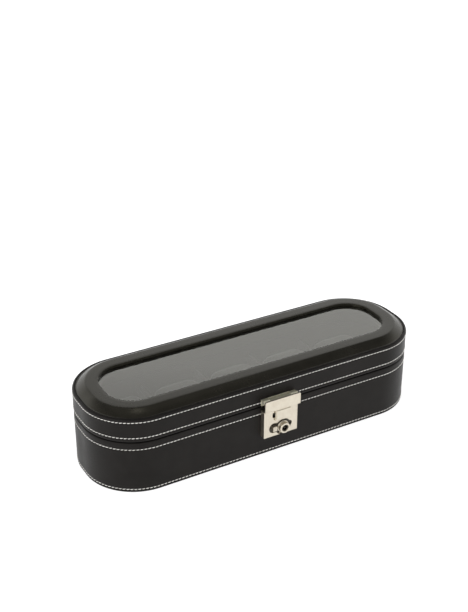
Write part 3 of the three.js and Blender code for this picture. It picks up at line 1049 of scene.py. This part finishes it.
def makeHasp():
    left, right, front, _, bottom, top = offsets("hasp_plate")
    face = front + hasp["bossHeight"]
    t0, t1 = hasp["tongue"]
    shoulder = hasp["shoulder"]
    n0, n1, rise = hasp["notch"]
    slope, corner = hasp["notchSlope"], hasp["corner"]
    outline = [(left, top - corner), (left, shoulder), (n0, shoulder), (n0 + slope, shoulder + rise),
               (n1 - slope, shoulder + rise), (n1, shoulder), (t0, shoulder), (t0, bottom), (t1, bottom),
               (t1, shoulder), (right, shoulder), (right, top - corner), (right - corner, top),
               (left + corner, top)]
    plate = prismMesh(outline, face * mm, (face + hasp["thickness"]) * mm)
    plate = shapeMetal("plate", plate, [], hasp["edge"])
    x0, x1, z0, z1 = hasp["boss"]
    boss = shapeMetal("boss", blockMesh(x0, x1, front, face + 1, z0, z1), [], hasp["bossEdge"])
    leaf = joinMeshes("hasp_leaf", [plate, boss])
    addPiece("hasp_leaf", leaf, nickelFinish, "hasp", ["hasp_plate"])
    y, z = hasp["pin"]
    _, middle, _ = hasp["knuckles"]
    web = blockMesh(middle[0], middle[1], face + 0.6, y, z, z + hasp["roll"] - 0.04)
    web = shapeMetal("web", web, [], 0.1, 2)
    barrel = knuckleMesh(*middle, hasp["pin"], hasp["roll"], hasp["pinRadius"])
    # the roll and its web use the lighter nickel, a painted highlight
    addPiece("hasp_roll", joinMeshes("hasp_roll", [web, barrel]), highlightNickelFinish, "hasp")


def makeBracket():
    left, right, _, back, bottom, _ = offsets("hasp_bracket")
    y, z = hasp["pin"]
    top = hasp["armTop"]
    meshes = [shapeMetal("plate", blockMesh(left, right, back - 0.8, back, bottom, top), [], 0.2, 2)]
    for ends in (hasp["knuckles"][0], hasp["knuckles"][2]):
        meshes.append(knuckleMesh(*ends, hasp["pin"], hasp["roll"], hasp["pinRadius"]))
        arm = blockMesh(ends[0], ends[1], y, back - 0.2, z + 0.6, top)
        meshes.append(shapeMetal("arm", arm, [], 0.12, 2))
    leaf = joinMeshes("hasp_wall_leaf", meshes)
    # the wall leaf uses the lighter nickel, a painted highlight
    addPiece("hasp_wall_leaf", leaf, highlightNickelFinish, "lid", ["hasp_bracket"])


def pinMesh(x0, x1, centre, radius):
    y, z = centre
    dome = 0.3
    length = x1 - x0
    profile = [(0, 0), (radius * 0.6, 0.06), (radius * 0.9, dome * 0.5), (radius, dome),
               (radius, length - dome), (radius * 0.9, length - dome * 0.5), (radius * 0.6, length - 0.06),
               (0, length)]
    return turnedMesh(profile, (x0, y, z), (1, 0, 0), 32)


def makePins():
    clearance = 0.02
    x0, x1 = offsets("hasp_pin")[:2]
    mesh = pinMesh(x0, x1, hasp["pin"], hasp["pinRadius"] - clearance)
    addPiece("hasp_pin_turned", mesh, steelFinish, "lid", ["hasp_pin"])
    for side in ("left", "right"):
        x0, x1, y0, y1, z0, z1 = offsets(f"hinge_{side}_pin")
        mesh = pinMesh(x0, x1, ((y0 + y1) / 2, (z0 + z1) / 2), (z1 - z0) / 2 - clearance)
        addPiece(f"hinge_{side}_pin_turned", mesh, steelFinish, "base", [f"hinge_{side}_pin"])


makeHasp()
makeBracket()
makePins()
print("hasp made")


# rear hinges, screws and tacks

hinge = {
    "half": 20.0, "middle": 7.0, "gap": 0.3,   # half the width, and half the middle knuckle's span
    "leaf": 0.5, "leafDepth": 6.5, "radius": 2.0, "bore": 0.9, "corner": 1.6,
    "slot": 0.5, "slotDepth": 0.28, "shank": 0.55, "head": 0.45,   # of a screw or a tack
}


def leafPlate(x0, x1, y0, y1, z0, z1, corner):
    outline = arcPoints((x1 - corner, y0 + corner), corner, 270, 360, 5) + [(x1, y1), (x0, y1)]
    outline += arcPoints((x0 + corner, y0 + corner), corner, 180, 270, 5)
    n = len(outline)
    points = [(x * mm, y * mm, z * mm) for z in (z0, z1) for x, y in outline]
    faces = [tuple(range(n)), tuple(reversed(range(n, 2 * n)))]
    faces += [(k, (k + 1) % n, (k + 1) % n + n, k + n) for k in range(n)]
    return meshFrom("draft", points, faces)


def makeHingeLeaf(side, half):
    p0, p1, y0, y1, z0, z1 = offsets(f"hinge_{side}_pin")
    middle, axis = (p0 + p1) / 2, ((y0 + y1) / 2, (z0 + z1) / 2)
    back = baseHigh.y / mm - 0.1
    if half == "base":
        low = baseHigh.z / mm
        spans = [(-hinge["half"], -hinge["middle"]), (hinge["middle"], hinge["half"])]
    else:
        low = lidLow.z / mm - hinge["leaf"]
        spans = [(hinge["gap"] - hinge["middle"], hinge["middle"] - hinge["gap"])]
    high = low + hinge["leaf"]
    plate = leafPlate(middle - hinge["half"], middle + hinge["half"], back - hinge["leafDepth"], back,
                      low, high, hinge["corner"])
    meshes = [plate]
    for start, end in spans:
        x0, x1 = middle + start, middle + end
        meshes.append(shapeMetal("neck", blockMesh(x0, x1, back - 1, axis[0] - 1.2, low, high), [], 0.08, 2))
        meshes.append(knuckleMesh(x0, x1, axis, hinge["radius"], hinge["bore"]))
    name = f"hinge_{side}_{half}_plate"
    addPiece(name, joinMeshes(name, meshes), nickelFinish, half, [f"hinge_{side}_{half}_leaf"])


# a low domed head, and for a screw a slot across it
def makeFastener(node, body, axis, slotted):
    x0, x1, y0, y1, z0, z1 = offsets(node)
    sign = 1 if sum(axis) > 0 else -1
    radius = (x1 - x0) / 2
    if axis[1]:
        centre = ((x0 + x1) / 2, y1 if sign > 0 else y0, (z0 + z1) / 2)
        length = y1 - y0
    else:
        centre = ((x0 + x1) / 2, (y0 + y1) / 2, z1 if sign > 0 else z0)
        length = z1 - z0
    shank = radius * hinge["shank"]
    head = hinge["head"]
    profile = [(0, -length), (shank * 0.4, 1 - length), (shank, 2 - length), (shank, -head), (radius, -head),
               (radius, -head * 0.45), (radius * 0.86, -head * 0.16), (radius * 0.5, -0.02), (0, 0)]
    mesh = turnedMesh(profile, centre, axis, 28)
    if slotted:
        x, y, z = centre
        half = hinge["slot"] / 2
        deep = hinge["slotDepth"]
        groove = blockMesh(x - radius - 1, x + radius + 1, y - half, y + half, z - deep, z + deep)
        mesh = shapeMetal("screw", mesh, [groove], 0.03, 1)
    addPiece(f"{node}_turned", mesh, steelFinish, body, [node])


for side in ("left", "right"):
    for half in ("base", "lid"):
        makeHingeLeaf(side, half)
        for end in ("inner", "outer"):
            makeFastener(f"hinge_{side}_{half}_screw_{end}", half, (0, 0, 1 if half == "base" else -1), True)
for number in range(1, 5):
    makeFastener(f"case_tack_{number}", "base", (0, -1, 0), False)
for number in range(1, 3):
    makeFastener(f"hasp_tack_{number}", "lid", (0, -1, 0), False)


# spring and inner lock plates

spring = {"turns": 6, "wire": 0.2, "coil": 0.8, "turnSteps": 16, "sides": 6}


def makeSpring():
    x0, x1, y0, y1, z0, z1 = offsets("latch_spring")
    y, z = (y0 + y1) / 2, (z0 + z1) / 2
    steps, sides = spring["turns"] * spring["turnSteps"], spring["sides"]
    points, faces = [], []
    for n in range(steps + 1):
        turn = 2 * math.pi * spring["turns"] * n / steps
        x = x0 + spring["wire"] + (x1 - x0 - 2 * spring["wire"]) * n / steps
        outward = Vector((0, math.cos(turn), math.sin(turn)))
        centre = Vector((x, y, z)) + outward * spring["coil"]
        for k in range(sides):
            a = 2 * math.pi * k / sides
            aside = outward * math.cos(a) + Vector((1, 0, 0)) * math.sin(a)
            points.append((centre + aside * spring["wire"]) * mm)
    for n in range(steps):
        for k in range(sides):
            a, b = n * sides + k, n * sides + (k + 1) % sides
            faces.append((a, b, b + sides, a + sides))
    faces += [tuple(reversed(range(sides))), tuple(steps * sides + k for k in range(sides))]
    mesh = meshFrom("latch_spring_coil", points, faces, 60)
    addPiece("latch_spring_coil", mesh, steelFinish, "base", ["latch_spring"])


makeSpring()
for node in ("lock_back_plate", "strike_hook"):
    dress(node, steelFinish)
print("hinges, screws and tacks made")


# floor, world and lights

studio = {
    "floorColour": (0.82, 0.82, 0.82), "floorGlow": 0.68,
    "floorReach": 6.0, "floorDrop": 0.1 * mm,
    "sky": 1.3, "overheadSky": 0.2,       # brightness near the horizon and straight above
    "skyChange": (0.51, 0.92), "skyFall": 3.0,   # heights on the dome between which it falls, and how fast
    "overhead": {"place": (0.0, 0.15, 1.4), "size": 1.6, "power": 1.5},
    "left": {"place": (-1.3, -0.5, 0.8), "size": 0.9, "power": 4},
    "lamp": {"place": (-0.11, -0.19, 1.38), "size": 0.2, "power": 0.4},
}


def makeFloor():
    reach, drop = studio["floorReach"], studio["floorDrop"]
    corners = [(x * reach, y * reach, -drop) for x, y in ((-1, -1), (1, -1), (1, 1), (-1, 1))]
    mesh = meshFrom("floor", corners, [(0, 1, 2, 3)])
    floor = bpy.data.objects.new("floor", mesh)
    bpy.context.scene.collection.objects.link(floor)
    material, _, shader = newMaterial("pale_floor")
    shader.inputs["Base Color"].default_value = (*studio["floorColour"], 1)
    shader.inputs["Roughness"].default_value = 0.9
    shader.inputs["Specular IOR Level"].default_value = 0.0
    shader.inputs["Emission Color"].default_value = (1, 1, 1, 1)
    shader.inputs["Emission Strength"].default_value = studio["floorGlow"]
    mesh.materials.append(material)


def makeWorld():
    world = bpy.data.worlds.new("studio")
    world.use_nodes = True
    tree = world.node_tree
    dome = addNode(tree, "ShaderNodeTexCoord").outputs["Generated"]
    split = addNode(tree, "ShaderNodeSeparateXYZ")
    tree.links.new(dome, split.inputs[0])
    low, high = studio["skyChange"]
    fall = calc(tree, "POWER", mapRange(tree, split.outputs["Z"], low, high, 1, 0), studio["skyFall"])
    light = mapRange(tree, fall, 0, 1, studio["overheadSky"], studio["sky"])
    tree.links.new(light, tree.nodes["Background"].inputs["Strength"])
    tree.nodes["Background"].inputs["Color"].default_value = (1, 1, 1, 1)
    bpy.context.scene.world = world


def makeLight(name, spec):
    data = bpy.data.lights.new(name, "AREA")
    data.shape = "DISK"
    data.size = spec["size"]
    data.energy = spec["power"]
    light = bpy.data.objects.new(name, data)
    light.location = spec["place"]
    target = Vector((0, 0, 0.04))
    light.rotation_euler = (target - light.location).to_track_quat("-Z", "Y").to_euler()
    bpy.context.scene.collection.objects.link(light)


makeFloor()
makeWorld()
for lightName in ("overhead", "left", "lamp"):
    makeLight(lightName, studio[lightName])
bpy.context.scene.view_settings.view_transform = "Standard"
print("studio made")
